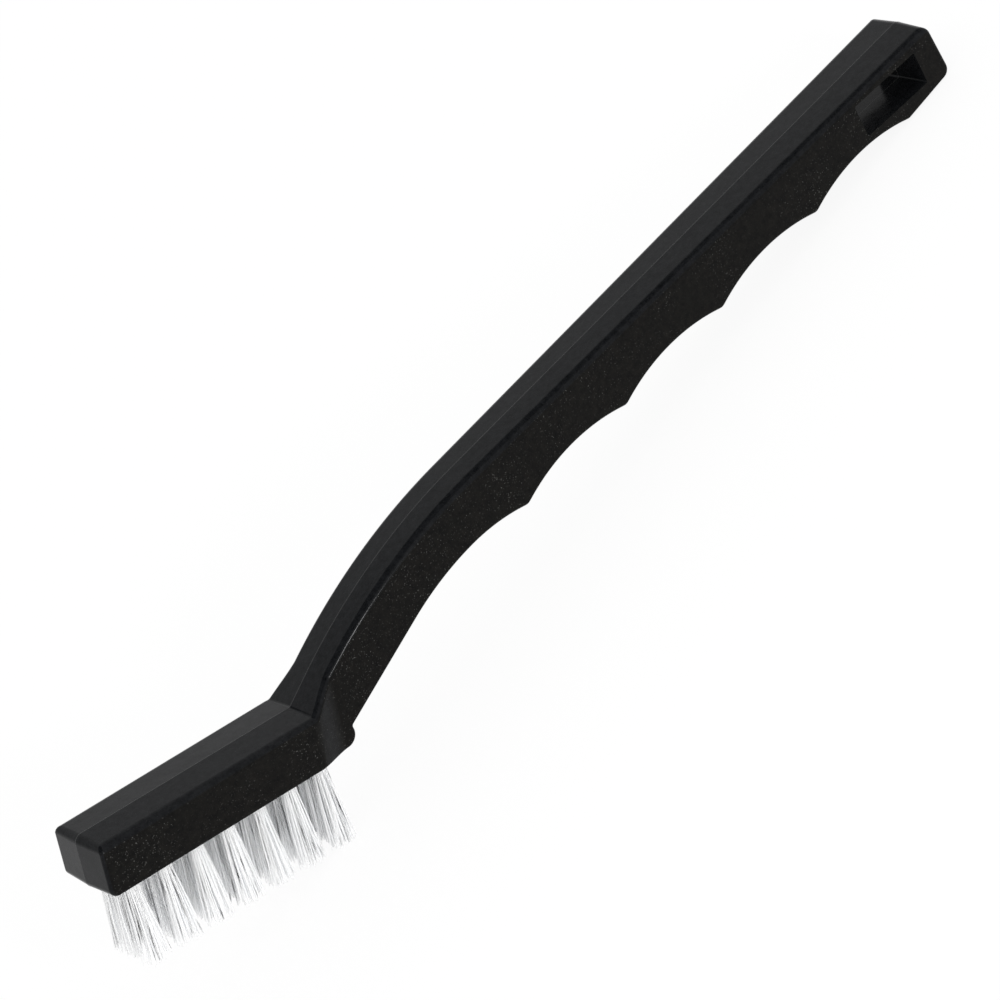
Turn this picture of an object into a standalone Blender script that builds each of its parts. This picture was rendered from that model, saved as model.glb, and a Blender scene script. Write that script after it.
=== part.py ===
"""Utility brush: a one-piece moulded handle with three rows of nylon tufts held by flat wire anchors.

The handle is drawn in its own frame, whose origin is the first finger cusp: X runs along the cusps towards
the tail, Y across the handle and Z towards its back. The block that carries the tufts has a frame of its
own, with X from the nose to the heel and Z into the block. The brush then leans as it does when it is laid
down, on the tail's lower edge and on the tips of the last tufts.
"""

import math
import random

import bmesh
import bpy
from mathutils import Matrix, Vector

for item in list(bpy.data.objects):
    bpy.data.objects.remove(item, do_unlink=True)

MM = 0.001

# Grip, seen from the side
CUSP_PITCH = 21.5 * MM
SCALLOP_COUNT = 4
SCALLOP_DEPTH = 2.0 * MM
CUSP_RADIUS = 1.6 * MM
BACK_HEIGHT = 11.0 * MM            # from the first cusp up to the back
BACK_TAPER = math.radians(0.37)    # the back comes down towards the tail
TAIL_LENGTH = 10.5 * MM            # past the last cusp
TAIL_UNDERCUT = math.radians(4.9)
TAIL_TOP_RADIUS = 1.55 * MM
TAIL_LOW_RADIUS = 1.75 * MM

# Neck, a long arc above that runs out straight to the bend, and a palm hollow below
NECK_START = 5.2 * MM              # in front of the first cusp
NECK_RADIUS = 91.6 * MM
NECK_TURN = math.radians(23.25)
NECK_STRAIGHT = 4.7 * MM
BEND_RADIUS = 0.6 * MM
PALM_RADIUS = 46.0 * MM
NOTCH_REACH = 4.8 * MM             # from the bend, along the cusps
NOTCH_DROP = 7.13 * MM             # from the bend, down
NOTCH_RADIUS = 0.3 * MM

# Block that carries the tufts, with its top parallel to its face
BLOCK_TILT = math.radians(16.15)   # its face against the line of the cusps
BLOCK_LENGTH = 37.95 * MM          # along the top, from the bend to the nose
BLOCK_HEIGHT = 8.4 * MM
NOSE_LEAN = math.radians(3.9)
NOSE_TOP_RADIUS = 1.25 * MM
NOSE_LOW_RADIUS = 1.4 * MM
HEEL_RISE = math.radians(87.9)
HEEL_RADIUS = 2.1 * MM

# Widths, the draft from the parting line in the middle, and the rounding of the long edges
BLOCK_WIDTH = 12.5 * MM
NECK_WIDTH = 8.95 * MM
TAIL_WIDTH = 12.5 * MM
SHOULDER_TOP = 6.4 * MM            # the block's width goes over into the neck's along this length
SHOULDER_LOW = 5.5 * MM
DRAFT = math.radians(2.4)
BACK_EDGE = 1.4 * MM
NECK_EDGE = 1.0 * MM
END_EDGE = 0.6 * MM
UNDER_EDGE = 0.4 * MM

# Hang hole, as high as the walls above and below it leave
HOLE_LENGTH = 13.4 * MM
HOLE_TAIL_WALL = 4.7 * MM
HOLE_BACK_WALL = 1.6 * MM
HOLE_LOW_WALL = 0.7 * MM           # above the deepest points of the scallops
HOLE_TILT = math.radians(2.75)
HOLE_CORNER = 0.3 * MM
HOLE_DRAFT = math.radians(1.2)

# Tufts, filaments folded over an anchor and driven into blind holes
ROW_NAMES = "abc"
ROW_PITCH = 3.1 * MM
ROW_SPLAY = math.radians(2.5)      # the outer rows lean outwards
COLUMN_COUNT = 7
NOSE_MARGIN = 4.85 * MM            # from the nose to the first tufts
HEEL_MARGIN = 7.7 * MM             # from the last tufts to the heel
TUFT_RADIUS = 0.95 * MM
TUFT_CLEARANCE = 0.25 * MM
TUFT_DEPTH = 4.0 * MM
TUFT_END_CHAMFER = 0.35 * MM
TUFT_MOUTH = 0.6 * MM              # the filaments part this deep in the hole
TRIM = 12.8 * MM
TRIM_SCATTER = 0.35 * MM
FILAMENT = 0.27 * MM
FILAMENT_RINGS = 2                 # round the middle one
FAN_MARGIN = 0.37 * MM             # left between the outermost tips and the middle between two tufts
FAN_ACROSS = 0.5 * MM              # how far the outermost filaments lean out at their tips
TIP_SCATTER = 0.1 * MM
FOOT_CUT = 0.5 * MM                # depth of the flat on the tips that the brush stands on

# Anchors, short lengths of flat wire that lie along the block
WIRE_THICKNESS = 0.35 * MM
WIRE_HEIGHT = 1.3 * MM
WIRE_CHAMFER = 0.08 * MM
WIRE_BITE = 0.35 * MM              # how far each end goes into the wall of the hole
WIRE_CLEARANCE = 0.25 * MM
FOLD = 0.6 * MM                    # filaments between the anchor and the bottom of the tuft

# Fineness of the round shapes
CORNER_STEPS = 4
NOTCH_STEPS = 2
CUSP_STEPS = 3
SCALLOP_STEPS = 8
PALM_STEPS = 4
NECK_STEPS = 16
SHOULDER_STEPS = 5
EDGE_STEPS = 3
HOLE_CORNER_STEPS = 2
HOLE_SIDES = 12
TUFT_SIDES = 12


def heading(angle):
    """Direction in the side view, at an angle above X."""
    return Vector((math.cos(angle), math.sin(angle)))


def arc(centre, radius, first, last, steps):
    """Points on an arc of the side view, between two angles."""
    return [centre + heading(first + (last - first) * k / steps) * radius for k in range(steps + 1)]


def corner(point, arriving, leaving, radius, steps=CORNER_STEPS):
    """Arc that rounds a corner of the side view, given the angles of the straights that meet there."""
    turn = (leaving - arriving + math.pi) % (2 * math.pi) - math.pi
    quarter = math.copysign(math.pi / 2, turn)
    start = point - heading(arriving) * radius * math.tan(abs(turn) / 2)
    centre = start + heading(arriving + quarter) * radius
    return arc(centre, radius, arriving - quarter, arriving - quarter + turn, steps)


def crossing(point, angle, other_point, other_angle):
    """Where two straights of the side view meet."""
    way = heading(angle)
    other_way = heading(other_angle)
    return point + way * ((other_point - point).cross(other_way) / way.cross(other_way))


def between(first, last, count):
    """Points spread evenly between two others, without either."""
    return [first.lerp(last, (k + 1) / (count + 1)) for k in range(count)]


def smooth_step(value):
    """Goes from 0 to 1 without a kink, and stays level outside."""
    value = min(max(value, 0.0), 1.0)
    return value * value * (3.0 - 2.0 * value)


# Key points of the side view, at the parting line. The angles are those of a walk round the outline with
# the plastic on the left.
TAIL_X = SCALLOP_COUNT * CUSP_PITCH + TAIL_LENGTH
BACK_WAY = math.pi - BACK_TAPER
NECK_WAY = BACK_WAY + NECK_TURN
TOP_WAY = math.pi - BLOCK_TILT
NOSE_WAY = 1.5 * math.pi - BLOCK_TILT - NOSE_LEAN
FACE_WAY = -BLOCK_TILT

neck_start = Vector((-NECK_START, BACK_HEIGHT + NECK_START * math.tan(BACK_TAPER)))
neck_centre = neck_start + heading(BACK_WAY + math.pi / 2) * NECK_RADIUS
neck_end = neck_centre + heading(NECK_WAY - math.pi / 2) * NECK_RADIUS
bend = neck_end + heading(NECK_WAY) * NECK_STRAIGHT
nose_top = bend + heading(TOP_WAY) * BLOCK_LENGTH
nose_low = nose_top + heading(NOSE_WAY) * BLOCK_HEIGHT / math.cos(NOSE_LEAN)

# The straight under the neck runs from the notch to where it touches the arc of the palm hollow
palm_peak = Vector((-CUSP_PITCH / 2, SCALLOP_DEPTH))
palm_centre = palm_peak - Vector((0.0, PALM_RADIUS))
notch = bend + Vector((NOTCH_REACH, -NOTCH_DROP))
to_notch = notch - palm_centre
PALM_TURN = math.atan2(to_notch.y, to_notch.x) - math.acos(PALM_RADIUS / to_notch.length) - math.pi / 2
heel = crossing(nose_low, FACE_WAY, notch, HEEL_RISE)

COLUMN_PITCH = ((heel - nose_low).length - NOSE_MARGIN - HEEL_MARGIN) / (COLUMN_COUNT - 1)
FAN_ALONG = COLUMN_PITCH / 2 - TUFT_RADIUS - FAN_MARGIN

tail_low = Vector((TAIL_X, TAIL_LENGTH * math.tan(TAIL_UNDERCUT)))
tail_top = Vector((TAIL_X, BACK_HEIGHT - TAIL_X * math.tan(BACK_TAPER)))

SCALLOP_RADIUS = ((CUSP_PITCH / 2) ** 2 + SCALLOP_DEPTH ** 2) / (2 * SCALLOP_DEPTH)
SCALLOP_SLOPE = math.asin(CUSP_PITCH / 2 / SCALLOP_RADIUS)

# The shoulders on the top and on the lower edge, where the block's width goes over into the neck's
SHOULDER_TOP_X = bend.x - BEND_RADIUS
NECK_X = SHOULDER_TOP_X + SHOULDER_TOP
HEEL_TANGENT = HEEL_RADIUS * math.tan((HEEL_RISE - FACE_WAY) / 2)
heel_start = heel - heading(FACE_WAY) * HEEL_TANGENT
shoulder_low = heel_start - heading(FACE_WAY) * SHOULDER_LOW


def scallop_arc(middle_x, first_x, last_x, steps):
    """Points on the hollow under one finger, whose deepest point is at middle_x."""
    centre = Vector((middle_x, SCALLOP_DEPTH - SCALLOP_RADIUS))
    first = math.acos((first_x - middle_x) / SCALLOP_RADIUS)
    last = math.acos((last_x - middle_x) / SCALLOP_RADIUS)
    return arc(centre, SCALLOP_RADIUS, first, last, steps)


def under_side():
    """Outline from the nose's lower edge to the tail: the face of the block, the heel, neck and grip."""
    nose = corner(nose_low, NOSE_WAY, FACE_WAY, NOSE_LOW_RADIUS)
    block = nose + [shoulder_low]
    shoulder = between(shoulder_low, heel_start, SHOULDER_STEPS - 1)
    grip = corner(heel, FACE_WAY, HEEL_RISE, HEEL_RADIUS)
    grip += corner(notch, HEEL_RISE, PALM_TURN, NOTCH_RADIUS, NOTCH_STEPS)
    grip += arc(palm_centre, PALM_RADIUS, math.pi / 2 + PALM_TURN, math.pi / 2, PALM_STEPS)[:-1]
    room = CUSP_RADIUS * math.tan(SCALLOP_SLOPE / 2) * 2
    grip += scallop_arc(palm_peak.x, palm_peak.x, -room, SCALLOP_STEPS // 2)
    for k in range(SCALLOP_COUNT):
        cusp = Vector((k * CUSP_PITCH, 0.0))
        grip += corner(cusp, -SCALLOP_SLOPE, SCALLOP_SLOPE, CUSP_RADIUS, CUSP_STEPS)
        middle_x = cusp.x + CUSP_PITCH / 2
        grip += scallop_arc(middle_x, cusp.x + room, cusp.x + CUSP_PITCH - room, SCALLOP_STEPS)
    last_cusp = Vector((SCALLOP_COUNT * CUSP_PITCH, 0.0))
    grip += corner(last_cusp, -SCALLOP_SLOPE, TAIL_UNDERCUT, CUSP_RADIUS, CUSP_STEPS)
    tail = corner(tail_low, TAIL_UNDERCUT, math.pi / 2, TAIL_LOW_RADIUS)
    return block, shoulder, grip, tail


def back_side():
    """Outline from the tail's upper edge to the nose: the back, the bend and the top of the block."""
    tail = corner(tail_top, math.pi / 2, BACK_WAY, TAIL_TOP_RADIUS)
    neck = arc(neck_centre, NECK_RADIUS, BACK_WAY - math.pi / 2, NECK_WAY - math.pi / 2, NECK_STEPS)
    fold = corner(bend, NECK_WAY, TOP_WAY, BEND_RADIUS)
    nose = corner(nose_top, TOP_WAY, NOSE_WAY, NOSE_TOP_RADIUS)
    return tail, neck, fold, nose


def grip_half_width(x):
    """Half the width of the neck and grip, whose sides are flat and part towards the tail."""
    share = (x - NECK_X) / (TAIL_X - NECK_X)
    return (NECK_WIDTH + (TAIL_WIDTH - NECK_WIDTH) * share) / 2


def half_width(x, start, length):
    """Half the width of the handle, with the shoulder at a given place."""
    share = smooth_step((x - start) / length)
    return BLOCK_WIDTH / 2 * (1.0 - share) + grip_half_width(x) * share


def faded(first, last, count):
    """Values that go evenly from one to another."""
    return [first + (last - first) * k / (count - 1) for k in range(count)]


def add_side(mesh, loop, chains):
    """Closes one side of the handle: the flat of the block, the shoulder, and the flat of the grip."""
    shoulder_from, shoulder_to, neck_from, fold_from = chains
    mesh.faces.new(loop[:shoulder_from + 1] + loop[fold_from:])
    mesh.faces.new(loop[shoulder_to:neck_from + 1])
    low = loop[shoulder_from:shoulder_to + 1]
    high = loop[neck_from:fold_from + 1][::-1]
    while len(low) > 1 or len(high) > 1:
        low_is_behind = len(high) < 2 or (len(low) > 1 and len(low) >= len(high))
        if low_is_behind:
            mesh.faces.new((low[0], low[1], high[0]))
            low = low[1:]
        else:
            mesh.faces.new((low[0], high[1], high[0]))
            high = high[1:]


def handle_mesh():
    """The moulding without its holes, drawn out sideways from the parting line with draft."""
    block, shoulder, grip, tail = under_side()
    tail_end, neck, fold, nose = back_side()
    low = block + shoulder + grip + tail
    spots = low + tail_end + neck + fold + nose
    edges = faded(END_EDGE, UNDER_EDGE, CORNER_STEPS + 1)
    edges += [UNDER_EDGE] * (len(low) - 2 * (CORNER_STEPS + 1))
    edges += faded(UNDER_EDGE, END_EDGE, CORNER_STEPS + 1)
    edges += faded(END_EDGE, BACK_EDGE, CORNER_STEPS + 1)
    edges += faded(BACK_EDGE, NECK_EDGE, len(neck))
    edges += [NECK_EDGE] * len(fold)
    edges += faded(BACK_EDGE, END_EDGE, CORNER_STEPS + 1)
    count = len(spots)
    ways = []
    for k in range(count):
        arriving = (spots[k] - spots[k - 1]).normalized()
        leaving = (spots[(k + 1) % count] - spots[k]).normalized()
        middle = (arriving + leaving).normalized()
        ways.append(Vector((-middle.y, middle.x)) / middle.dot(leaving))
    mesh = bmesh.new()
    rings = {0: [mesh.verts.new((spot.x, 0.0, spot.y)) for spot in spots]}
    for side in (-1, 1):
        for step in range(EDGE_STEPS + 1):
            swing = math.pi / 2 * step / EDGE_STEPS
            ring = []
            for k, spot in enumerate(spots):
                if k < len(low):
                    start, length = shoulder_low.x, heel_start.x - shoulder_low.x
                else:
                    start, length = SHOULDER_TOP_X, SHOULDER_TOP
                flat = half_width(spot.x, start, length) - edges[k]
                inset = flat * math.tan(DRAFT) + edges[k] * (1.0 - math.cos(swing))
                place = spot + ways[k] * inset
                out = half_width(place.x, start, length) - edges[k] * (1.0 - math.sin(swing))
                ring.append(mesh.verts.new((place.x, side * out, place.y)))
            rings[side * (step + 1)] = ring
    levels = sorted(rings)
    for first, second in zip(levels, levels[1:]):
        for k in range(count):
            n = (k + 1) % count
            mesh.faces.new((rings[first][k], rings[first][n], rings[second][n], rings[second][k]))
    shoulder_to = len(block) + len(shoulder)
    neck_first = len(low) + len(tail_end)
    on_neck = [k for k in range(neck_first, neck_first + len(neck)) if spots[k].x > NECK_X]
    fold_from = neck_first + len(neck) + len(fold) - 1
    chains = (len(block) - 1, shoulder_to, on_neck[-1], fold_from)
    add_side(mesh, rings[levels[0]], chains)
    add_side(mesh, rings[levels[-1]], chains)
    bmesh.ops.recalc_face_normals(mesh, faces=mesh.faces)
    return mesh


def add_prism(mesh, rings):
    """Adds one closed body, lofted through rings of points of equal count."""
    loops = [[mesh.verts.new(point) for point in ring] for ring in rings]
    for low, high in zip(loops, loops[1:]):
        for k in range(len(low)):
            n = (k + 1) % len(low)
            mesh.faces.new((low[k], low[n], high[n], high[k]))
    mesh.faces.new(loops[0][::-1])
    mesh.faces.new(loops[-1])
    return loops


def circle(radius, height, sides):
    """Points on a circle about Z."""
    turns = [2 * math.pi * (k + 0.5) / sides for k in range(sides)]
    return [Vector((radius * math.cos(turn), radius * math.sin(turn), height)) for turn in turns]


def box_rings(length, width, low, high):
    """The two ends of a box that is centred on Z."""
    corners = ((-1, -1), (1, -1), (1, 1), (-1, 1))
    ends = []
    for height in (low, high):
        ends.append([Vector((x * length / 2, y * width / 2, height)) for x, y in corners])
    return ends


def hole_ring(y):
    """Outline of the hang hole at a distance from the parting line."""
    growth = abs(y) * math.tan(HOLE_DRAFT)
    at_parting = TAIL_WIDTH / 2 * math.tan(HOLE_DRAFT)
    middle_x = TAIL_X - HOLE_TAIL_WALL - HOLE_LENGTH / 2
    top = BACK_HEIGHT - middle_x * math.tan(BACK_TAPER) - HOLE_BACK_WALL
    bottom = SCALLOP_DEPTH + HOLE_LOW_WALL
    middle = Vector((middle_x, (top + bottom) / 2))
    length = HOLE_LENGTH / 2 - at_parting + growth
    height = (top - bottom - HOLE_LENGTH * math.sin(HOLE_TILT)) / 2 - at_parting + growth
    along = heading(-HOLE_TILT)
    across = heading(math.pi / 2 - HOLE_TILT)
    points = []
    for number, (x, z) in enumerate(((1, -1), (1, 1), (-1, 1), (-1, -1))):
        point = middle + along * length * x + across * height * z
        arriving = number * math.pi / 2 - HOLE_TILT
        points += corner(point, arriving, arriving + math.pi / 2, HOLE_CORNER, HOLE_CORNER_STEPS)
    return [Vector((point.x, y, point.y)) for point in points]


def tuft_places():
    """Name and place of each tuft in the block's frame: X to the heel, Z into the block."""
    middle = (len(ROW_NAMES) - 1) / 2
    for row, letter in enumerate(ROW_NAMES):
        for column in range(COLUMN_COUNT):
            x = NOSE_MARGIN + column * COLUMN_PITCH
            place = Matrix.Translation((x, (row - middle) * ROW_PITCH, 0.0))
            lean = Matrix.Rotation((row - middle) * ROW_SPLAY, 4, "X")
            yield f"{letter}{column + 1}", place @ lean


WIRE_HIGH = TUFT_DEPTH - FOLD
WIRE_LOW = WIRE_HIGH - WIRE_HEIGHT
WIRE_LENGTH = 2 * (TUFT_RADIUS + TUFT_CLEARANCE + WIRE_BITE)


def cutter_mesh(rings, places):
    """One closed body for each place, all of the same shape."""
    mesh = bmesh.new()
    for place in places:
        add_prism(mesh, [[place @ point for point in ring] for ring in rings])
    bmesh.ops.recalc_face_normals(mesh, faces=mesh.faces)
    return mesh


def filament_roots():
    """Places of the filaments in a tuft, in rings round the middle one."""
    pitch = (TUFT_RADIUS - FILAMENT / math.sqrt(2)) / FILAMENT_RINGS
    yield Vector((0.0, 0.0)), 0.0
    for ring in range(1, FILAMENT_RINGS + 1):
        for k in range(6 * ring):
            turn = 2 * math.pi * (k + 0.5) / (6 * ring)
            yield heading(turn) * pitch * ring, turn


def tuft_mesh(seed, to_rest):
    """A tuft: its folded root in the hole, and the filaments that fan out of it as far as the trim."""
    chance = random.Random(seed)
    mesh = bmesh.new()
    root_end = (TUFT_RADIUS - TUFT_END_CHAMFER, TUFT_DEPTH)
    radii = ((TUFT_RADIUS, TUFT_MOUTH), (TUFT_RADIUS, TUFT_DEPTH - TUFT_END_CHAMFER), root_end)
    loops = add_prism(mesh, [circle(radius, height, TUFT_SIDES) for radius, height in radii])
    mesh.faces.ensure_lookup_table()
    mouth = next(face for face in mesh.faces if all(vert in loops[0] for vert in face.verts))
    rim = list(mouth.edges)
    mesh.faces.remove(mouth)
    fan = Vector(((TUFT_RADIUS + FAN_ALONG) / TUFT_RADIUS, (TUFT_RADIUS + FAN_ACROSS) / TUFT_RADIUS))
    for root, turn in filament_roots():
        stray = Vector((chance.uniform(-1, 1), chance.uniform(-1, 1))) * TIP_SCATTER
        tip = Vector((root.x * fan.x, root.y * fan.y)) + stray
        reach = TRIM + chance.uniform(-1, 1) * TRIM_SCATTER
        starts = []
        ends = []
        for k in range(4):
            arm = heading(turn + math.pi / 4 + k * math.pi / 2) * FILAMENT / math.sqrt(2)
            start = Vector((root.x + arm.x, root.y + arm.y, TUFT_MOUTH))
            end = Vector((tip.x + arm.x, tip.y + arm.y, -reach))
            start_height = (to_rest @ start).z
            end_height = (to_rest @ end).z
            if end_height < 0.0:
                end = start.lerp(end, start_height / (start_height - end_height))
            starts.append(mesh.verts.new(start))
            ends.append(mesh.verts.new(end))
        for k in range(4):
            n = (k + 1) % 4
            mesh.faces.new((starts[k], starts[n], ends[n], ends[k]))
            rim.append(mesh.edges.get((starts[k], starts[n])))
        mesh.faces.new(ends)
    bmesh.ops.triangle_fill(mesh, use_beauty=True, use_dissolve=False, edges=rim)
    bmesh.ops.recalc_face_normals(mesh, faces=mesh.faces)
    return mesh


def anchor_mesh():
    """A length of flat wire with its long edges broken."""
    mesh = bmesh.new()
    half_y = WIRE_THICKNESS / 2
    half_z = WIRE_HEIGHT / 2
    cut = WIRE_CHAMFER
    quarter = ((half_y, half_z - cut), (half_y - cut, half_z))
    section = list(quarter) + [(-y, z) for y, z in quarter[::-1]]
    section += [(-y, -z) for y, z in section]
    middle = (WIRE_LOW + WIRE_HIGH) / 2
    rings = []
    for x in (-WIRE_LENGTH / 2, WIRE_LENGTH / 2):
        rings.append([Vector((x, y, middle + z)) for y, z in section])
    add_prism(mesh, rings)
    bmesh.ops.recalc_face_normals(mesh, faces=mesh.faces)
    return mesh


def material(name, colour, roughness, metallic):
    """A plain Principled material."""
    made = bpy.data.materials.new(name)
    made.use_nodes = True
    shader = made.node_tree.nodes["Principled BSDF"]
    shader.inputs["Base Color"].default_value = (*colour, 1.0)
    shader.inputs["Roughness"].default_value = roughness
    shader.inputs["Metallic"].default_value = metallic
    made.diffuse_color = (*colour, 1.0)
    return made


def put(name, mesh, parent, finish=None, place=None):
    """Makes an object of a mesh and hangs it on its parent."""
    data = bpy.data.meshes.new(name)
    mesh.to_mesh(data)
    mesh.free()
    item = bpy.data.objects.new(name, data)
    bpy.context.scene.collection.objects.link(item)
    item.parent = parent
    if place:
        item.matrix_local = place
    if finish:
        data.materials.append(finish)
        data.shade_smooth()
        data.set_sharp_from_angle(angle=math.radians(30.0))
    else:
        item.hide_render = True
        item.display_type = "WIRE"
    return item


def cut(item, cutter):
    """Takes one object out of another."""
    change = item.modifiers.new(cutter.name, "BOOLEAN")
    change.operation = "DIFFERENCE"
    change.solver = "EXACT"
    change.object = cutter


def empty(name, parent, place):
    """A frame that other objects hang on."""
    frame = bpy.data.objects.new(name, None)
    bpy.context.scene.collection.objects.link(frame)
    frame.parent = parent
    frame.matrix_local = place
    return frame


def rest_place(block_place):
    """Leans the handle's frame on the table and centres it over the origin."""
    foot_x = (heel - nose_low).length - HEEL_MARGIN + TUFT_RADIUS + FAN_ALONG
    foot = block_place @ Vector((foot_x, 0.0, -TRIM))
    turn = math.pi / 2 - TAIL_UNDERCUT
    start = tail_low - heading(TAIL_UNDERCUT) * TAIL_LOW_RADIUS * math.tan(turn / 2)
    centre = start + heading(TAIL_UNDERCUT + math.pi / 2) * TAIL_LOW_RADIUS
    span = centre - Vector((foot.x, foot.z))
    lean = math.atan2(span.y, span.x) - math.asin((TAIL_LOW_RADIUS + FOOT_CUT) / span.length)
    turned = Matrix.Rotation(lean, 4, "Y")
    table = (turned @ Vector((centre.x, 0.0, centre.y))).z - TAIL_LOW_RADIUS
    front_tip = block_place @ Vector((NOSE_MARGIN - TUFT_RADIUS - FAN_ALONG, 0.0, -TRIM))
    outline = [Vector((spot.x, 0.0, spot.y)) for chain in under_side() + back_side() for spot in chain]
    across = [(turned @ spot).x for spot in outline + [front_tip]]
    return Matrix.Translation((-(min(across) + max(across)) / 2, 0.0, -table)) @ turned


black_plastic = material("black_plastic", (0.012, 0.012, 0.013), 0.45, 0.0)
white_nylon = material("white_nylon", (0.78, 0.79, 0.80), 0.4, 0.0)
brass_wire = material("brass_wire", (0.62, 0.45, 0.16), 0.35, 1.0)

block_place = Matrix.Translation((nose_low.x, 0.0, nose_low.y)) @ Matrix.Rotation(BLOCK_TILT, 4, "Y")
standing = rest_place(block_place)
lean_frame = empty("lean_frame", None, standing)
block_frame = empty("block_frame", lean_frame, block_place)

handle = put("handle", handle_mesh(), lean_frame, black_plastic)
hang_hole = bmesh.new()
add_prism(hang_hole, [hole_ring(y) for y in (-TAIL_WIDTH, 0.0, TAIL_WIDTH)])
bmesh.ops.recalc_face_normals(hang_hole, faces=hang_hole.faces)
cut(handle, put("hang_hole_cutter", hang_hole, lean_frame))

places = [place for name, place in tuft_places()]
hole_radius = TUFT_RADIUS + TUFT_CLEARANCE
hole_heights = (-hole_radius, TUFT_DEPTH + TUFT_CLEARANCE)
hole_ends = [circle(hole_radius, height, HOLE_SIDES) for height in hole_heights]
tuft_holes = put("tuft_hole_cutter", cutter_mesh(hole_ends, places), block_frame)
cut(handle, tuft_holes)
slot = box_rings(WIRE_LENGTH + 2 * WIRE_CLEARANCE, WIRE_THICKNESS + 2 * WIRE_CLEARANCE,
                 WIRE_LOW - WIRE_CLEARANCE, WIRE_HIGH + WIRE_CLEARANCE)
wire_slots = put("wire_slot_cutter", cutter_mesh(slot, places), block_frame)
cut(handle, wire_slots)

for seed, (name, place) in enumerate(tuft_places()):
    to_rest = standing @ block_place @ place
    tuft = put(f"tuft_{name}", tuft_mesh(seed, to_rest), block_frame, white_nylon, place)
    cut(tuft, wire_slots)
    put(f"anchor_{name}", anchor_mesh(), block_frame, brass_wire, place)
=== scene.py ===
"""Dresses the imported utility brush: its moulded handle, the wire anchors and the nylon bristles."""

import math
import random

import bmesh
import bpy
from mathutils import Matrix, Vector


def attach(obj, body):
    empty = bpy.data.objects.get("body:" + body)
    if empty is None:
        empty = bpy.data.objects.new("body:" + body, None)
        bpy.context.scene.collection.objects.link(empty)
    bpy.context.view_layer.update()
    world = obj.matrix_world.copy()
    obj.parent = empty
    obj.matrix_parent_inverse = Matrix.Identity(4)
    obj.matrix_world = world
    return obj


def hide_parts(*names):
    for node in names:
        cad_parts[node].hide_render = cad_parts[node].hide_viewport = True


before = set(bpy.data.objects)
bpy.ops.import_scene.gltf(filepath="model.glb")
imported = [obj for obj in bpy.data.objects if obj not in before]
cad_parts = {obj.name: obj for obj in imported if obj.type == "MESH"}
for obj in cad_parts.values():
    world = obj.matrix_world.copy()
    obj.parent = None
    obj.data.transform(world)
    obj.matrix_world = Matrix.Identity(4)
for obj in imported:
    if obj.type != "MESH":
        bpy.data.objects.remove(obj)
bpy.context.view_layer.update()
MM = 0.001

# The handle is one injection moulding of black polypropylene: the block for the tufts, the neck, the grip
# with its four finger scallops and the tail with its hang hole. It has draft both ways from a parting line
# that runs round the middle, where the mould's halves left a fine ridge.

# Its outline from the side
CUSP_PITCH = 21.5 * MM
SCALLOP_COUNT = 4
SCALLOP_DEPTH = 2.0 * MM
CUSP_RADIUS = 1.6 * MM
BACK_HEIGHT = 11.0 * MM
BACK_TAPER = math.radians(0.37)
TAIL_LENGTH = 10.5 * MM
TAIL_UNDERCUT = math.radians(4.9)
TAIL_TOP_RADIUS = 1.55 * MM
TAIL_LOW_RADIUS = 1.75 * MM
NECK_START = 5.2 * MM
NECK_RADIUS = 91.6 * MM
NECK_TURN = math.radians(23.25)
NECK_STRAIGHT = 4.7 * MM
BEND_RADIUS = 0.6 * MM
PALM_RADIUS = 46.0 * MM
NOTCH_REACH = 4.8 * MM
NOTCH_DROP = 7.13 * MM
NOTCH_RADIUS = 0.3 * MM
BLOCK_TILT = math.radians(16.15)
BLOCK_LENGTH = 37.95 * MM
BLOCK_HEIGHT = 8.4 * MM
NOSE_LEAN = math.radians(3.9)
NOSE_TOP_RADIUS = 1.25 * MM
NOSE_LOW_RADIUS = 1.4 * MM
HEEL_RISE = math.radians(87.9)
HEEL_RADIUS = 2.1 * MM

# Its widths, draft and rounded edges
BLOCK_WIDTH = 12.5 * MM
NECK_WIDTH = 8.95 * MM
TAIL_WIDTH = 12.5 * MM
SHOULDER_TOP = 6.4 * MM
SHOULDER_LOW = 5.5 * MM
SHOULDER_EASE = 0.35
DRAFT = math.radians(2.4)
BACK_EDGE = 1.4 * MM
NECK_EDGE = 1.0 * MM
END_EDGE = 0.6 * MM
UNDER_EDGE = 0.4 * MM
EDGE_STEPS = 6
RIDGE_HEIGHT = 0.03 * MM
RIDGE_WIDTH = 0.18 * MM
SHARP_FROM = math.radians(28.0)

# How the brush lies, on its tail and on its last tufts
LYING_PLACE = (-5.0962 * MM, 0.0, 11.7251 * MM)
LYING_TILT = math.radians(7.5565)
lying = Matrix.Translation(LYING_PLACE) @ Matrix.Rotation(LYING_TILT, 4, "Y")


def heading(angle):
    """Direction in the side view, at an angle above X."""
    return Vector((math.cos(angle), math.sin(angle)))


def arc(centre, radius, first, last, steps):
    """Points on an arc of the side view, between two angles."""
    return [centre + heading(first + (last - first) * k / steps) * radius for k in range(steps + 1)]


def corner(point, arriving, leaving, radius, steps=8):
    """Arc that rounds a corner of the side view, given the angles of the straights that meet there."""
    turn = (leaving - arriving + math.pi) % (2 * math.pi) - math.pi
    quarter = math.copysign(math.pi / 2, turn)
    start = point - heading(arriving) * radius * math.tan(abs(turn) / 2)
    centre = start + heading(arriving + quarter) * radius
    return arc(centre, radius, arriving - quarter, arriving - quarter + turn, steps)


def crossing(point, angle, other_point, other_angle):
    """Where two straights of the side view meet."""
    way = heading(angle)
    other_way = heading(other_angle)
    return point + way * ((other_point - point).cross(other_way) / way.cross(other_way))


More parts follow.
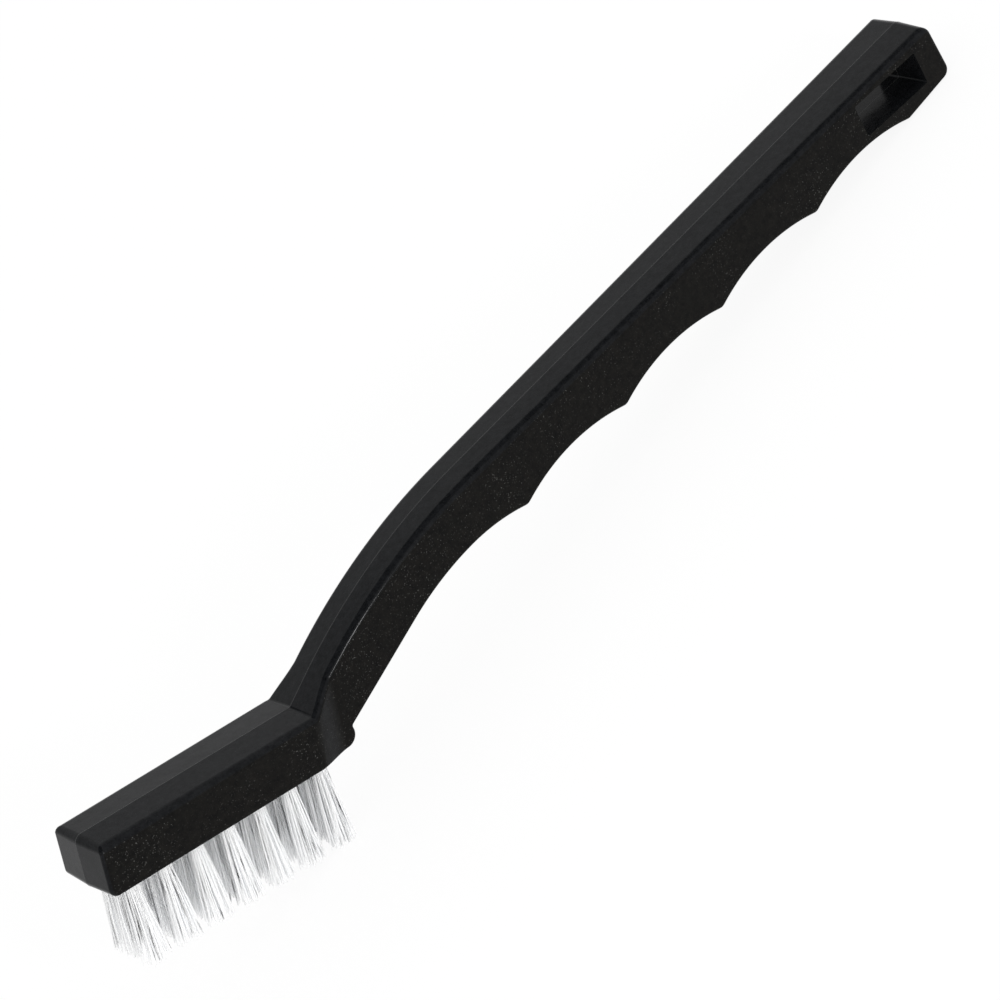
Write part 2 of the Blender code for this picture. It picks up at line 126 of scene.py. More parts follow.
TAIL_X = SCALLOP_COUNT * CUSP_PITCH + TAIL_LENGTH
BACK_WAY = math.pi - BACK_TAPER
NECK_WAY = BACK_WAY + NECK_TURN
TOP_WAY = math.pi - BLOCK_TILT
NOSE_WAY = 1.5 * math.pi - BLOCK_TILT - NOSE_LEAN
FACE_WAY = -BLOCK_TILT
neck_start = Vector((-NECK_START, BACK_HEIGHT + NECK_START * math.tan(BACK_TAPER)))
neck_centre = neck_start + heading(BACK_WAY + math.pi / 2) * NECK_RADIUS
neck_end = neck_centre + heading(NECK_WAY - math.pi / 2) * NECK_RADIUS
bend = neck_end + heading(NECK_WAY) * NECK_STRAIGHT
nose_top = bend + heading(TOP_WAY) * BLOCK_LENGTH
nose_low = nose_top + heading(NOSE_WAY) * BLOCK_HEIGHT / math.cos(NOSE_LEAN)
palm_peak = Vector((-CUSP_PITCH / 2, SCALLOP_DEPTH))
palm_centre = palm_peak - Vector((0.0, PALM_RADIUS))
notch = bend + Vector((NOTCH_REACH, -NOTCH_DROP))
to_notch = notch - palm_centre
PALM_TURN = math.atan2(to_notch.y, to_notch.x) - math.acos(PALM_RADIUS / to_notch.length) - math.pi / 2
heel = crossing(nose_low, FACE_WAY, notch, HEEL_RISE)
tail_low = Vector((TAIL_X, TAIL_LENGTH * math.tan(TAIL_UNDERCUT)))
tail_top = Vector((TAIL_X, BACK_HEIGHT - TAIL_X * math.tan(BACK_TAPER)))
SCALLOP_RADIUS = ((CUSP_PITCH / 2) ** 2 + SCALLOP_DEPTH ** 2) / (2 * SCALLOP_DEPTH)
SCALLOP_SLOPE = math.asin(CUSP_PITCH / 2 / SCALLOP_RADIUS)
SHOULDER_TOP_X = bend.x - BEND_RADIUS
NECK_X = SHOULDER_TOP_X + SHOULDER_TOP
heel_start = heel - heading(FACE_WAY) * HEEL_RADIUS * math.tan((HEEL_RISE - FACE_WAY) / 2)
shoulder_low = heel_start - heading(FACE_WAY) * SHOULDER_LOW


def scallop_arc(middle_x, first_x, last_x, steps):
    """Points on the hollow under one finger, whose deepest point is at middle_x."""
    centre = Vector((middle_x, SCALLOP_DEPTH - SCALLOP_RADIUS))
    first = math.acos((first_x - middle_x) / SCALLOP_RADIUS)
    last = math.acos((last_x - middle_x) / SCALLOP_RADIUS)
    return arc(centre, SCALLOP_RADIUS, first, last, steps)


def neck_side():
    """Outline of the back up to the neck, and on over the shoulder and the bend to the block's top."""
    at_neck = math.acos((NECK_X - neck_centre.x) / NECK_RADIUS)
    neck = arc(neck_centre, NECK_RADIUS, BACK_WAY - math.pi / 2, at_neck, steps=48)
    shoulder = arc(neck_centre, NECK_RADIUS, at_neck, NECK_WAY - math.pi / 2, steps=6)[1:]
    fold = corner(bend, NECK_WAY, TOP_WAY, BEND_RADIUS)
    shoulder += [neck_end.lerp(fold[0], k / 10) for k in range(1, 10)] + fold
    end = bend + heading(TOP_WAY) * (bend.x - SHOULDER_TOP_X) / -math.cos(TOP_WAY)
    return neck, shoulder + [fold[-1].lerp(end, k / 3) for k in range(1, 4)]


def grip_side():
    """Outline from the heel to the last cusp: the notch, the palm hollow and the finger scallops."""
    grip = corner(heel, FACE_WAY, HEEL_RISE, HEEL_RADIUS, steps=12)[1:]
    grip += corner(notch, HEEL_RISE, PALM_TURN, NOTCH_RADIUS, steps=5)
    grip += arc(palm_centre, PALM_RADIUS, math.pi / 2 + PALM_TURN, math.pi / 2, steps=14)[:-1]
    room = CUSP_RADIUS * math.tan(SCALLOP_SLOPE / 2) * 2
    grip += scallop_arc(palm_peak.x, palm_peak.x, -room, steps=14)
    for k in range(SCALLOP_COUNT):
        cusp = Vector((k * CUSP_PITCH, 0.0))
        grip += corner(cusp, -SCALLOP_SLOPE, SCALLOP_SLOPE, CUSP_RADIUS)
        grip += scallop_arc(cusp.x + CUSP_PITCH / 2, cusp.x + room, cusp.x + CUSP_PITCH - room, steps=28)
    last_cusp = Vector((SCALLOP_COUNT * CUSP_PITCH, 0.0))
    return grip + corner(last_cusp, -SCALLOP_SLOPE, TAIL_UNDERCUT, CUSP_RADIUS)


def half_width(x, shoulder_start, shoulder_length):
    """Half the width of the handle, which goes over from the block's to the grip's at the shoulder."""
    along = (x - NECK_X) / (TAIL_X - NECK_X)
    grip = (NECK_WIDTH + (TAIL_WIDTH - NECK_WIDTH) * along) / 2
    share = min(max((x - shoulder_start) / shoulder_length, 0.0), 1.0)
    share += (share * share * (3.0 - 2.0 * share) - share) * SHOULDER_EASE
    return BLOCK_WIDTH / 2 * (1.0 - share) + grip * share


def faded(first, last, count):
    """Values that go evenly from one to another."""
    return [first + (last - first) * k / (count - 1) for k in range(count)]


def inward_ways(spots):
    """Directions into the handle round its outline, longer at corners so that an inset stays parallel."""
    ways = []
    for k, spot in enumerate(spots):
        arriving = (spot - spots[k - 1]).normalized()
        leaving = (spots[(k + 1) % len(spots)] - spot).normalized()
        middle = (arriving + leaving).normalized()
        ways.append(Vector((-middle.y, middle.x)) / middle.dot(leaving))
    return ways


def handle_mesh():
    """The moulding without its holes: its outline, drawn out sideways with draft and rounded edges."""
    neck, shoulder_high = neck_side()
    nose_corner = corner(nose_low, NOSE_WAY, FACE_WAY, NOSE_LOW_RADIUS)
    start_x = shoulder_high[-1].x
    shares = [(spot.x - start_x) / (NECK_X - start_x) for spot in reversed(shoulder_high)]
    shoulder = [shoulder_low.lerp(heel_start, share) for share in shares] + [heel_start.copy()]
    tail_bottom = corner(tail_low, TAIL_UNDERCUT, math.pi / 2, TAIL_LOW_RADIUS)
    tail_back = corner(tail_top, math.pi / 2, BACK_WAY, TAIL_TOP_RADIUS)
    nose_back = corner(nose_top, TOP_WAY, NOSE_WAY, NOSE_TOP_RADIUS)
    low = nose_corner + shoulder + grip_side() + tail_bottom
    high = tail_back + neck + shoulder_high + nose_back
    spots = low + high
    ways = inward_ways(spots)

    bend_count = len(nose_corner)
    edges = faded(END_EDGE, UNDER_EDGE, bend_count) + [UNDER_EDGE] * (len(low) - 2 * bend_count)
    edges += faded(UNDER_EDGE, END_EDGE, bend_count) + faded(END_EDGE, BACK_EDGE, bend_count)
    edges += faded(BACK_EDGE, NECK_EDGE, len(neck)) + [NECK_EDGE] * len(shoulder_high)
    edges += faded(BACK_EDGE, END_EDGE, bend_count)
    low_span = (shoulder_low.x, heel_start.x - shoulder_low.x)
    spans = [low_span] * len(low) + [(SHOULDER_TOP_X, SHOULDER_TOP)] * len(high)

    mesh = bmesh.new()
    rings = {0: []}
    for spot, way in zip(spots, ways):
        above = (lying @ Vector((spot.x, 0.0, spot.y))).z
        peak = spot - way * RIDGE_HEIGHT * min(above / MM, 1.0)
        rings[0].append(mesh.verts.new((peak.x, 0.0, peak.y)))
    for side in (-1, 1):
        foot = side * RIDGE_WIDTH / 2
        rings[side] = [mesh.verts.new((spot.x, foot, spot.y)) for spot in spots]
        for step in range(EDGE_STEPS + 1):
            swing = math.pi / 2 * step / EDGE_STEPS
            ring = []
            for spot, way, edge, span in zip(spots, ways, edges, spans):
                flat = half_width(spot.x, *span) - edge
                place = spot + way * (flat * math.tan(DRAFT) + edge * (1.0 - math.cos(swing)))
                out = half_width(place.x, *span) - edge * (1.0 - math.sin(swing))
                ring.append(mesh.verts.new((place.x, side * out, place.y)))
            rings[side * (step + 2)] = ring

    levels = sorted(rings)
    for first, second in zip(levels, levels[1:]):
        for k in range(len(spots)):
            n = (k + 1) % len(spots)
            mesh.faces.new((rings[first][k], rings[first][n], rings[second][n], rings[second][k]))

    # The flat sides: the block's, the grip's, and the shoulder's strip by strip between them
    low_from = len(nose_corner)
    low_to = low_from + len(shoulder) - 1
    high_to = len(low) + len(tail_back) + len(neck) - 1
    high_from = high_to + len(shoulder_high)
    for ring in (rings[levels[0]], rings[levels[-1]]):
        mesh.faces.new(ring[:low_from + 1] + ring[high_from:])
        mesh.faces.new(ring[low_to:high_to + 1])
        for k in range(len(shoulder) - 1):
            mesh.faces.new((ring[low_from + k], ring[low_from + k + 1],
                            ring[high_from - k - 1], ring[high_from - k]))
    return mesh


def add_prism(mesh, rings):
    """Adds one closed body, lofted through rings of points of equal count."""
    loops = [[mesh.verts.new(point) for point in ring] for ring in rings]
    for low, high in zip(loops, loops[1:]):
        for k in range(len(low)):
            n = (k + 1) % len(low)
            mesh.faces.new((low[k], low[n], high[n], high[k]))
    mesh.faces.new(loops[0][::-1])
    mesh.faces.new(loops[-1])


def put(name, mesh):
    """Makes an object of a mesh."""
    bmesh.ops.recalc_face_normals(mesh, faces=mesh.faces)
    data = bpy.data.meshes.new(name)
    mesh.to_mesh(data)
    mesh.free()
    item = bpy.data.objects.new(name, data)
    bpy.context.scene.collection.objects.link(item)
    return item


def carve(item, mesh):
    """Takes a mesh out of an object for good."""
    cutter = put("cutter", mesh)
    change = item.modifiers.new("cut", "BOOLEAN")
    change.solver = "EXACT"
    change.object = cutter
    shaped = bpy.data.meshes.new_from_object(item.evaluated_get(bpy.context.evaluated_depsgraph_get()))
    item.modifiers.clear()
    item.data = shaped
    bpy.data.objects.remove(cutter)


# The hang hole, a slot through the tail, drafted both ways
HOLE_LENGTH = 13.4 * MM
HOLE_TAIL_WALL = 4.7 * MM
HOLE_BACK_WALL = 1.6 * MM
HOLE_LOW_WALL = 0.7 * MM
HOLE_TILT = math.radians(2.75)
HOLE_CORNER = 0.3 * MM
HOLE_DRAFT = math.radians(1.2)


def hang_hole_ring(y):
    """Outline of the hang hole at a distance from the parting line."""
    middle_x = TAIL_X - HOLE_TAIL_WALL - HOLE_LENGTH / 2
    top = BACK_HEIGHT - middle_x * math.tan(BACK_TAPER) - HOLE_BACK_WALL
    bottom = SCALLOP_DEPTH + HOLE_LOW_WALL
    growth = (abs(y) - TAIL_WIDTH / 2) * math.tan(HOLE_DRAFT)
    length = HOLE_LENGTH / 2 + growth
    height = (top - bottom - HOLE_LENGTH * math.sin(HOLE_TILT)) / 2 + growth
    along = heading(-HOLE_TILT)
    across = heading(math.pi / 2 - HOLE_TILT)
    points = []
    for number, (x, z) in enumerate(((1, -1), (1, 1), (-1, 1), (-1, -1))):
        point = Vector((middle_x, (top + bottom) / 2)) + along * length * x + across * height * z
        arriving = number * math.pi / 2 - HOLE_TILT
        points += corner(point, arriving, arriving + math.pi / 2, HOLE_CORNER, steps=4)
    return [Vector((point.x, y, point.y)) for point in points]


# The blind holes for the tufts, in three rows of seven, and the slots that the anchors cut for themselves
ROW_NAMES = "abc"
ROW_PITCH = 3.1 * MM
ROW_SPLAY = math.radians(2.5)
COLUMN_COUNT = 7
NOSE_MARGIN = 4.85 * MM
HEEL_MARGIN = 7.7 * MM
COLUMN_PITCH = ((heel - nose_low).length - NOSE_MARGIN - HEEL_MARGIN) / (COLUMN_COUNT - 1)
BORE_RADIUS = 1.2 * MM
BORE_DEPTH = 4.25 * MM
WIRE_THICKNESS = 0.35 * MM
WIRE_HEIGHT = 1.3 * MM
WIRE_DEPTH = 3.4 * MM
WIRE_LENGTH = 3.1 * MM
WIRE_CLEARANCE = 0.25 * MM
block_place = Matrix.Translation((nose_low.x, 0.0, nose_low.y)) @ Matrix.Rotation(BLOCK_TILT, 4, "Y")


def tuft_places():
    """Name and place of each tuft in the block's frame: X to the heel, Z into the block."""
    middle = (len(ROW_NAMES) - 1) / 2
    for row, letter in enumerate(ROW_NAMES):
        for column in range(COLUMN_COUNT):
            x = NOSE_MARGIN + column * COLUMN_PITCH
            place = Matrix.Translation((x, (row - middle) * ROW_PITCH, 0.0))
            lean = Matrix.Rotation((row - middle) * ROW_SPLAY, 4, "X")
            yield f"{letter}{column + 1}", place @ lean


def tuft_bore(height, sides=24):
    """Outline of a tuft's round hole at a height."""
    return [Vector((*(heading(2 * math.pi * k / sides) * BORE_RADIUS), height)) for k in range(sides)]


def anchor_slot(height):
    """Outline at a height of the slot that an anchor has cut for itself."""
    x = WIRE_LENGTH / 2 + WIRE_CLEARANCE
    y = WIRE_THICKNESS / 2 + WIRE_CLEARANCE
    return [Vector(point) for point in ((-x, -y, height), (x, -y, height), (x, y, height), (-x, y, height))]


hang_hole = bmesh.new()
add_prism(hang_hole, [hang_hole_ring(y) for y in (-TAIL_WIDTH, 0.0, TAIL_WIDTH)])
bores = bmesh.new()
slots = bmesh.new()
bore_ends = (-BORE_RADIUS, BORE_DEPTH)
slot_ends = (WIRE_DEPTH - WIRE_HEIGHT - WIRE_CLEARANCE, WIRE_DEPTH + WIRE_CLEARANCE)
for _, place in tuft_places():
    to_handle = block_place @ place
    add_prism(bores, [[to_handle @ point for point in tuft_bore(height)] for height in bore_ends])
    add_prism(slots, [[to_handle @ point for point in anchor_slot(height)] for height in slot_ends])
handle = put("handle_moulding", handle_mesh())
carve(handle, hang_hole)
carve(handle, bores)
carve(handle, slots)


class Wire:
    """A shader socket that takes part in sums written in Python."""

    def __init__(self, finish, socket):
        self.finish = finish
        self.socket = socket

    def step(self, operation, *values):
        """One step of arithmetic."""
        return self.finish.node("ShaderNodeMath", {"operation": operation}, dict(enumerate(values)))

    def __add__(self, other):
        return self.step("ADD", self, other)

    def __radd__(self, other):
        return self.step("ADD", other, self)

    def __sub__(self, other):
        return self.step("SUBTRACT", self, other)

    def __rsub__(self, other):
        return self.step("SUBTRACT", other, self)

    def __mul__(self, other):
        return self.step("MULTIPLY", self, other)

    def __rmul__(self, other):
        return self.step("MULTIPLY", other, self)

    def __gt__(self, other):
        return self.step("GREATER_THAN", self, other)

    def __lt__(self, other):
        return self.step("LESS_THAN", self, other)

    def __abs__(self):
        return self.step("ABSOLUTE", self)


class Finish:
    """The shader nodes of a material or of the studio."""

    def __init__(self, owner, **plain):
        owner.use_nodes = True
        self.owner = owner
        self.tree = owner.node_tree
        self.dress(**plain)

    def dress(self, **sockets):
        """Feeds the sockets of the material's own shader, and gives the material."""
        for name, value in sockets.items():
            self.feed("Principled BSDF", name.replace("_", " "), value)
        return self.owner

    def feed(self, node, name, value):
        """Gives a socket a link or a plain value."""
        socket = self.tree.nodes[node].inputs[name]
        if isinstance(value, Wire):
            self.tree.links.new(value.socket, socket)
        else:
            socket.default_value = value

    def node(self, kind, settings, values, output=0):
        """Adds one node: its settings first, then what its sockets get."""
        made = self.tree.nodes.new(kind)
        for name, value in settings.items():
            if name == "stops":
                while len(made.color_ramp.elements) < len(value):
                    made.color_ramp.elements.new(0.5)
                for stop, (place, shade) in zip(made.color_ramp.elements, value):
                    stop.position = place
                    stop.color = (shade, shade, shade, 1.0)
            else:
                setattr(made, name, value)
        for name, value in values.items():
            self.feed(made.name, name, value)
        return Wire(self, made.outputs[output])

    def place(self, output="Object"):
        """Where a point of the surface is, in metres, or another of its coordinates."""
        return self.node("ShaderNodeTexCoord", {}, {}, output)

    def across(self, vector):
        """How far a point or a direction is from the handle's middle plane."""
        return abs(self.node("ShaderNodeSeparateXYZ", {}, {"Vector": vector}, "Y"))

    def ramp(self, value, *stops):
        """Turns a number into a shade, between given stops."""
        return self.node("ShaderNodeValToRGB", {"stops": stops}, {"Fac": value})

    def noise(self, size, detail, **more):
        """Noise whose lumps have about the given size, in metres."""
        values = {"Vector": self.place(), "Scale": 1.0 / size, "Detail": detail, **more}
        return self.node("ShaderNodeTexNoise", {}, values)

    def mix(self, share, first, second):
        """Mixes two colours by a share. The node's sockets 6 and 7 and its output 2 are for colours."""
        return self.node("ShaderNodeMix", {"data_type": "RGBA"}, {0: share, 6: first, 7: second}, 2)

    def bump(self, height, depth, **below):
        """Raises a surface by a height from 0 to 1, times a depth in metres."""
        return self.node("ShaderNodeBump", {}, {"Height": height, "Distance": depth, **below})

    def seen(self):
        """1 for what the camera sees, straight or in mirrors and glass, and 0 for plain light."""
        camera, glossy, through = (self.node("ShaderNodeLightPath", {}, {}, name)
                                   for name in ("Is Camera Ray", "Is Glossy Ray", "Is Transmission Ray"))
        return camera.step("MAXIMUM", camera.step("MAXIMUM", camera, glossy), through)


SIDE_FROM = 0.915
SIDE_TO = 0.97
PARTING_REACH = 0.10 * MM
CLOUD_SIZE = 6 * MM
GRAIN_SIZE = 0.35 * MM
GRAIN_DEPTH = 0.006 * MM
WAVE_SIZE = 3.5 * MM
WAVE_DEPTH = 0.03 * MM
SPECK_SIZE = 0.22 * MM
PATCH_SIZE = 9 * MM
MOTTLE_SIZE = 1.1 * MM
# The back's colours are painted paler than the sides', as painted light and shade on the one plastic, and
# each range is spread by a random mottle. The parting line's colour is a painted highlight.
LIT_BACK_DARK = (0.0026, 0.0029, 0.0035, 1.0)
LIT_BACK_PALE = (0.0100, 0.0106, 0.0118, 1.0)
SHADED_SIDE_DARK = (0.0004, 0.0004, 0.0004, 1.0)
SHADED_SIDE_PALE = (0.0062, 0.0056, 0.0046, 1.0)
SPECK_COLOUR = (0.10, 0.10, 0.095, 1.0)
PARTING_HIGHLIGHT = (0.035, 0.035, 0.036, 1.0)


def black_plastic():
    """Satin black polypropylene. Its sides are scuffed and carry fine pale specks, mostly in patches. Its
    back is painted a little paler and its flat sides darker, as painted light and shade, and a painted
    highlight runs along the parting line.
    """
    finish = Finish(bpy.data.materials.new("black_polypropylene"), Specular_IOR_Level=0.085)
    side = finish.ramp(finish.across(finish.place("Normal")), (SIDE_FROM, 0.0), (SIDE_TO, 1.0))
    parting = finish.across(finish.place()) < PARTING_REACH
    cloud = finish.noise(CLOUD_SIZE, 3.0, Roughness=0.6)
    speck = finish.ramp(finish.noise(SPECK_SIZE, 1.0), (0.66, 0.0), (0.76, 1.0))
    patch = finish.ramp(finish.noise(PATCH_SIZE, 2.0), (0.38, 0.2), (0.58, 1.0))
    speck = speck * patch * (side * 0.85 + 0.15)
    mottle = finish.ramp(finish.noise(MOTTLE_SIZE, 6.0, Roughness=0.85), (0.36, 0.0), (0.66, 1.0))
    # Painted light and shade: the back gets the paler colours and the flat sides the darker ones, each
    # mottled at random.
    lit_back_colour = finish.mix(mottle, LIT_BACK_DARK, LIT_BACK_PALE)
    shaded_side_colour = finish.mix(mottle, SHADED_SIDE_DARK, SHADED_SIDE_PALE)
    colour = finish.mix(side, lit_back_colour, shaded_side_colour)
    colour = finish.mix(speck * 0.7, colour, SPECK_COLOUR)
    # Painted highlight: a paler line along the parting line stands in for the light that its fine ridge
    # catches.
    colour = finish.mix(parting * 0.8, colour, PARTING_HIGHLIGHT)
    roughness = 0.12 + cloud * 0.10 + side * 0.25 + speck * 0.2
    grain = finish.bump(finish.noise(GRAIN_SIZE, 2.0), GRAIN_DEPTH)
    wavy = finish.bump(finish.noise(WAVE_SIZE, 2.0), WAVE_DEPTH, Normal=grain)
    return finish.dress(Base_Color=colour, Roughness=roughness, Normal=wavy)


handle.data.materials.clear()
handle.data.materials.append(black_plastic())
handle.data.transform(lying)
handle.data.shade_smooth()
handle.data.set_sharp_from_angle(angle=SHARP_FROM)
even = handle.modifiers.new("even_normals", "WEIGHTED_NORMAL")
even.keep_sharp = True
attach(handle, "root")
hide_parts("handle")


# The anchors are short lengths of flat brass wire. Each was punched into its hole across the folded
# filaments, and its ends bit into the plastic.
DRAWN_LINES = (900.0, 9000.0, 9000.0)
DRAWN_DEPTH = 0.01 * MM
BRASS_DARK = (0.52, 0.36, 0.13, 1.0)
BRASS_PALE = (0.74, 0.56, 0.25, 1.0)


def brass():
    """Drawn brass wire, with fine lines along it, whose numbers to the metre are given."""
    finish = Finish(bpy.data.materials.new("brass_wire"), Metallic=1.0)
    along = finish.node("ShaderNodeMapping", {}, {"Vector": finish.place(), "Scale": DRAWN_LINES})
    lines = finish.node("ShaderNodeTexNoise", {}, {"Vector": along, "Scale": 1.0, "Detail": 3.0})
    colour = finish.mix(lines, BRASS_DARK, BRASS_PALE)
    raised = finish.bump(lines, DRAWN_DEPTH)
    return finish.dress(Base_Color=colour, Roughness=0.22 + lines * 0.25, Normal=raised)


brass_wire = brass()
for name, _ in tuft_places():
    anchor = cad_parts[f"anchor_{name}"]
    anchor.data.materials.clear()
    anchor.data.materials.append(brass_wire)


# The bristles are white nylon filaments. Each tuft is a bunch of them folded over its anchor at the bottom
# of a blind hole, so both ends stand out of the block, and they fan apart up to the trim.
TRIM = 12.8 * MM
TRIM_SCATTER = 0.35 * MM
FILAMENT_RADIUS = 0.10 * MM
FILAMENT_SIDES = 6
TIP_TAPER = 0.75
ROOT_RADIUS = 1.07 * MM
SPREAD_ALONG = 2.25 * MM
SPREAD_ACROSS = 1.5 * MM
SPREAD_CURVE = 1.12
TIP_SCATTER = 0.16 * MM
STRAY_SHARE = 0.05
STRAY_REACH = 0.7 * MM
BOW_SCATTER = 0.10 * MM
FOLD_SPACING = 0.15 * MM
FOLD_STEPS = 6
LEG_PITCH = 0.212 * MM
LEG_ROW_PITCH = LEG_PITCH * 0.87
LEG_SHARES = (0.0, 0.1, 0.25, 0.42, 0.6, 0.8, 1.0)
FLOOR_CLEARANCE = FILAMENT_RADIUS * 0.6
BUNCH_LEAN = 0.3


def leg_roots():
    """Places of a tuft's filament legs in its hole, on one side of the anchor, with the row of each."""
    row = 0
    y = WIRE_THICKNESS / 2 + FILAMENT_RADIUS
    while y < ROOT_RADIUS:
        reach = math.sqrt(ROOT_RADIUS ** 2 - y ** 2)
        count = int(2 * reach / LEG_PITCH) + 1
        for k in range(count):
            yield Vector(((k - (count - 1) / 2) * LEG_PITCH, y)), row
        y += LEG_ROW_PITCH
        row += 1


def leg(root, chance, to_rest):
    """Points along one leg of a filament, from the mouth of the hole to its tip or to the table."""
    share = root / ROOT_RADIUS
    tip = Vector((share.x * SPREAD_ALONG, share.y * SPREAD_ACROSS))
    tip += Vector([chance.gauss(0, TIP_SCATTER) for _ in range(2)])
    if chance.random() < STRAY_SHARE:
        tip += Vector([chance.uniform(-STRAY_REACH, STRAY_REACH) for _ in range(2)])
    reach = TRIM + chance.uniform(-TRIM_SCATTER, TRIM_SCATTER)
    bow = Vector([chance.gauss(0, BOW_SCATTER) for _ in range(2)])
    points = []
    for along in LEG_SHARES:
        flat = root.lerp(tip, along ** SPREAD_CURVE) + bow * math.sin(math.pi * along)
        points.append(Vector((flat.x, flat.y, -reach * along)))
    for k, point in enumerate(points):
        height = (to_rest @ point).z
        if height < FLOOR_CLEARANCE:
            before = (to_rest @ points[k - 1]).z
            points[k] = points[k - 1].lerp(point, (before - FLOOR_CLEARANCE) / (before - height))
            return points[:k + 1]
    return points


def filament(root, row, chance, to_rest):
    """Points along a folded filament from tip to tip, and at each of them the way out of the bunch."""
    other_root = Vector((root.x, -root.y))
    one = leg(root, chance, to_rest)
    other = leg(other_root, chance, to_rest)
    depth = FILAMENT_RADIUS + row * FOLD_SPACING
    fold = []
    for k in range(FOLD_STEPS + 1):
        turn = math.pi * k / FOLD_STEPS
        fold.append(Vector((root.x, root.y * math.cos(turn), WIRE_DEPTH + depth * math.sin(turn))))
    ways = [root.to_3d()] * len(one) + [Vector()] * len(fold) + [other_root.to_3d()] * len(other)
    return one[::-1] + fold + other, ways


def tuft_mesh(seed, to_rest):
    """One bunch of folded filaments, each a round tube that goes in, round the anchor and out again.

    Filaments pass light on to each other, so their normals lean to the outside of the bunch.
    """
    chance = random.Random(seed)
    mesh = bmesh.new()
    normals = []
    for root, row in leg_roots():
        path, ways = filament(root, row, chance, to_rest)
        last = len(path) - 1
        lean = min(root.length / ROOT_RADIUS, 1.0) * BUNCH_LEAN
        rings = []
        for k, (point, way) in enumerate(zip(path, ways)):
            along = (path[min(k + 1, last)] - path[max(k - 1, 0)]).normalized()
            side = (Vector((1.0, 0.0, 0.0)) - along * along.x).normalized()
            up = along.cross(side)
            radius = FILAMENT_RADIUS * (TIP_TAPER if k in (0, last) else 1.0)
            ring = []
            for n in range(FILAMENT_SIDES):
                turn = heading(2 * math.pi * n / FILAMENT_SIDES)
                around = side * turn.x + up * turn.y
                ring.append(to_rest @ (point + around * radius))
                normal = around * (1.0 - lean) + way / ROOT_RADIUS * lean
                normals.append(to_rest.to_3x3() @ normal.normalized())
            rings.append(ring)
        add_prism(mesh, rings)
    return mesh, normals


NYLON_DEPTH = 0.45 * MM
NYLON_COOL = (0.965, 0.97, 0.98, 1.0)
NYLON_WARM = (0.99, 0.99, 0.985, 1.0)
STREAK_SIZE = 0.8 * MM
STREAK_COLOUR = (0.95, 0.96, 0.98, 1.0)


def nylon():
    """White nylon that light passes through, a little different from filament to filament and streaked."""
    finish = Finish(bpy.data.materials.new("white_nylon"), Specular_IOR_Level=0.2, Subsurface_Weight=1.0,
                    Subsurface_Scale=NYLON_DEPTH, Subsurface_Radius=(1.0, 1.0, 1.0))
    tint = finish.node("ShaderNodeNewGeometry", {}, {}, "Random Per Island")
    streak = finish.noise(STREAK_SIZE, 2.0)
    colour = finish.mix(streak * 0.2, finish.mix(tint, NYLON_COOL, NYLON_WARM), STREAK_COLOUR)
    return finish.dress(Base_Color=colour, Roughness=0.45 + tint * 0.2)


white_nylon = nylon()
for seed, (name, place) in enumerate(tuft_places()):
    mesh, normals = tuft_mesh(seed, lying @ block_place @ place)
    tuft = put(f"bristles_{name}", mesh)
    tuft.data.materials.append(white_nylon)
    tuft.data.shade_smooth()
    tuft.data.normals_split_custom_set_from_vertices(normals)
    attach(tuft, "root")
    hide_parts(f"tuft_{name}")


# The floor is a plain pale sheet under the brush. The camera and mirror images see it white, with the
# brush's faint shadow on it.
FLOOR_REACH = 3.0
FLOOR_COLOUR = (0.97, 0.97, 0.97, 1.0)
FLOOR_GLOW = 0.9
WHITE = (1.0, 1.0, 1.0, 1.0)

floor_mesh = bmesh.new()
for x, y in ((-1, -1), (1, -1), (1, 1), (-1, 1)):
    floor_mesh.verts.new((x * FLOOR_REACH, y * FLOOR_REACH, 0.0))
floor_mesh.faces.new(floor_mesh.verts)
floor = put("floor", floor_mesh)
sheet = Finish(bpy.data.materials.new("pale_floor"))
sheet.tree.nodes.remove(sheet.tree.nodes["Principled BSDF"])
lit = sheet.node("ShaderNodeBsdfDiffuse", {}, {"Color": FLOOR_COLOUR})
glow = sheet.node("ShaderNodeEmission", {}, {"Color": WHITE, "Strength": 1.0})
both = sheet.node("ShaderNodeMixShader", {}, {0: sheet.seen() * FLOOR_GLOW, 1: lit, 2: glow})
sheet.feed("Material Output", "Surface", both)
floor.data.materials.append(sheet.owner)

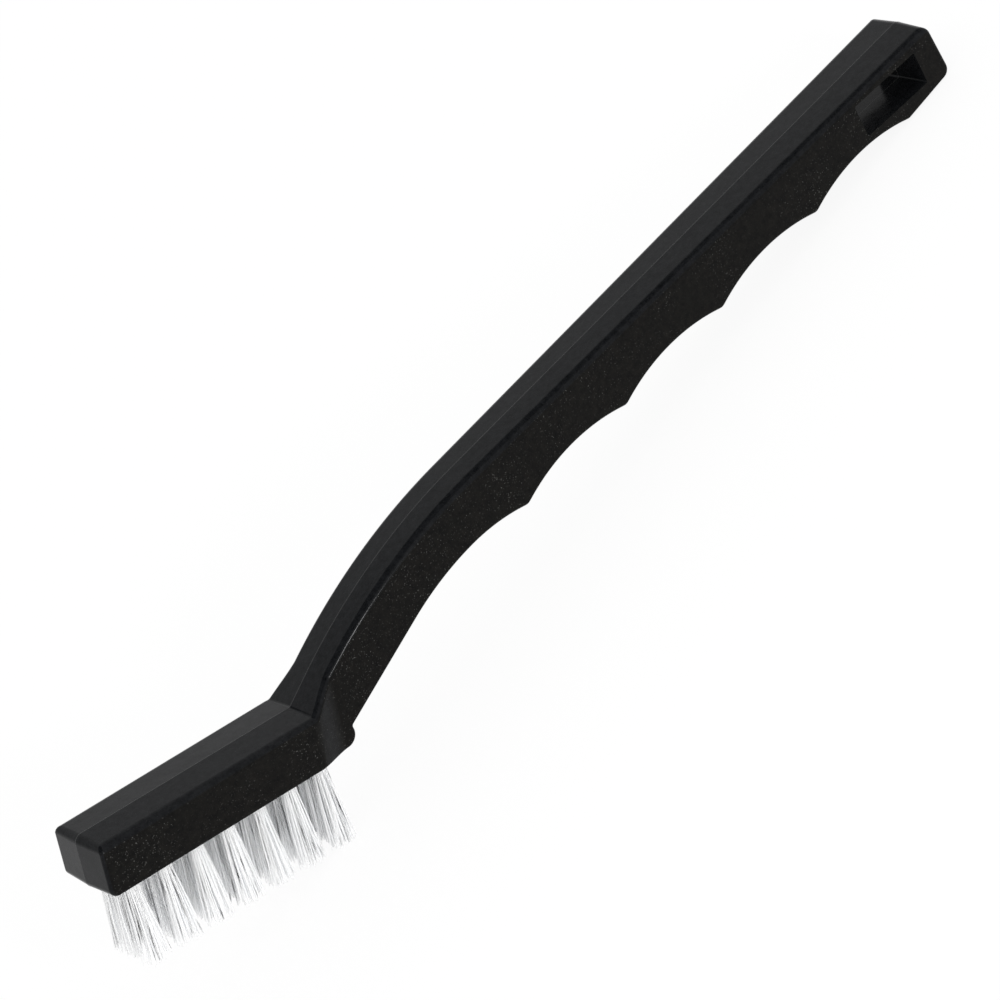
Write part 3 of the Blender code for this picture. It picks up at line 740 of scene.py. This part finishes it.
# The studio gives plain white light from all round. In the handle's gloss its walls show, which are a bit
# greyer at mid height and end under a dark ceiling. Each stop is a height and a shade.
STUDIO_WALLS = ((0.08, 1.0), (0.32, 0.72), (0.68, 1.0), (0.78, 0.08))

world = bpy.data.worlds.new("studio")
bpy.context.scene.world = world
studio = Finish(world)
height = studio.node("ShaderNodeSeparateXYZ", {}, {"Vector": studio.place("Generated")}, "Z")
studio.feed("Background", "Color", studio.mix(studio.seen(), WHITE, studio.ramp(height, *STUDIO_WALLS)))

# One small soft lamp stands low in front of the brush and draws the bright line along its near edge.
# Light goes on from filament to filament, so it may bounce more often than usual.
LAMP_AIM = Vector((0.0, 0.0, 0.02))
LAMP_WAY = Vector((0.0, -0.94, 0.33))
LAMP_DISTANCE = 1.2
LAMP_SIZE = 0.14
LAMP_RADIANCE = 62.0
BOUNCES = 24

lamp_data = bpy.data.lights.new("front_lamp", "AREA")
lamp_data.size = LAMP_SIZE
lamp_data.energy = LAMP_RADIANCE * math.pi * LAMP_SIZE ** 2
lamp = bpy.data.objects.new("front_lamp", lamp_data)
bpy.context.scene.collection.objects.link(lamp)
lamp.location = LAMP_AIM + LAMP_WAY.normalized() * LAMP_DISTANCE
lamp.rotation_euler = LAMP_WAY.to_track_quat("Z", "Y").to_euler()
bpy.context.scene.cycles.diffuse_bounces = BOUNCES
bpy.context.scene.cycles.max_bounces = BOUNCES

# The camera stands where the photograph was taken from. Its place is written in the handle's frame.
CAMERA_PLACE = Vector((-220.618, -508.324, 351.746)) * MM
CAMERA_RIGHT = Vector((0.65827, -0.59875, -0.45627))
CAMERA_AHEAD = Vector((0.33455, 0.77565, -0.5352))
CAMERA_LENS = 163.276

camera_data = bpy.data.cameras.new("camera")
camera_data.lens = CAMERA_LENS
camera_data.clip_start = 0.01
camera = bpy.data.objects.new("camera", camera_data)
bpy.context.scene.collection.objects.link(camera)
ahead = CAMERA_AHEAD.normalized()
up = CAMERA_RIGHT.cross(ahead).normalized()
view = Matrix((ahead.cross(up), up, -ahead)).transposed().to_4x4()
camera.matrix_world = lying @ Matrix.Translation(CAMERA_PLACE) @ view
bpy.context.scene.camera = camera
bpy.context.scene.view_settings.view_transform = "Standard"
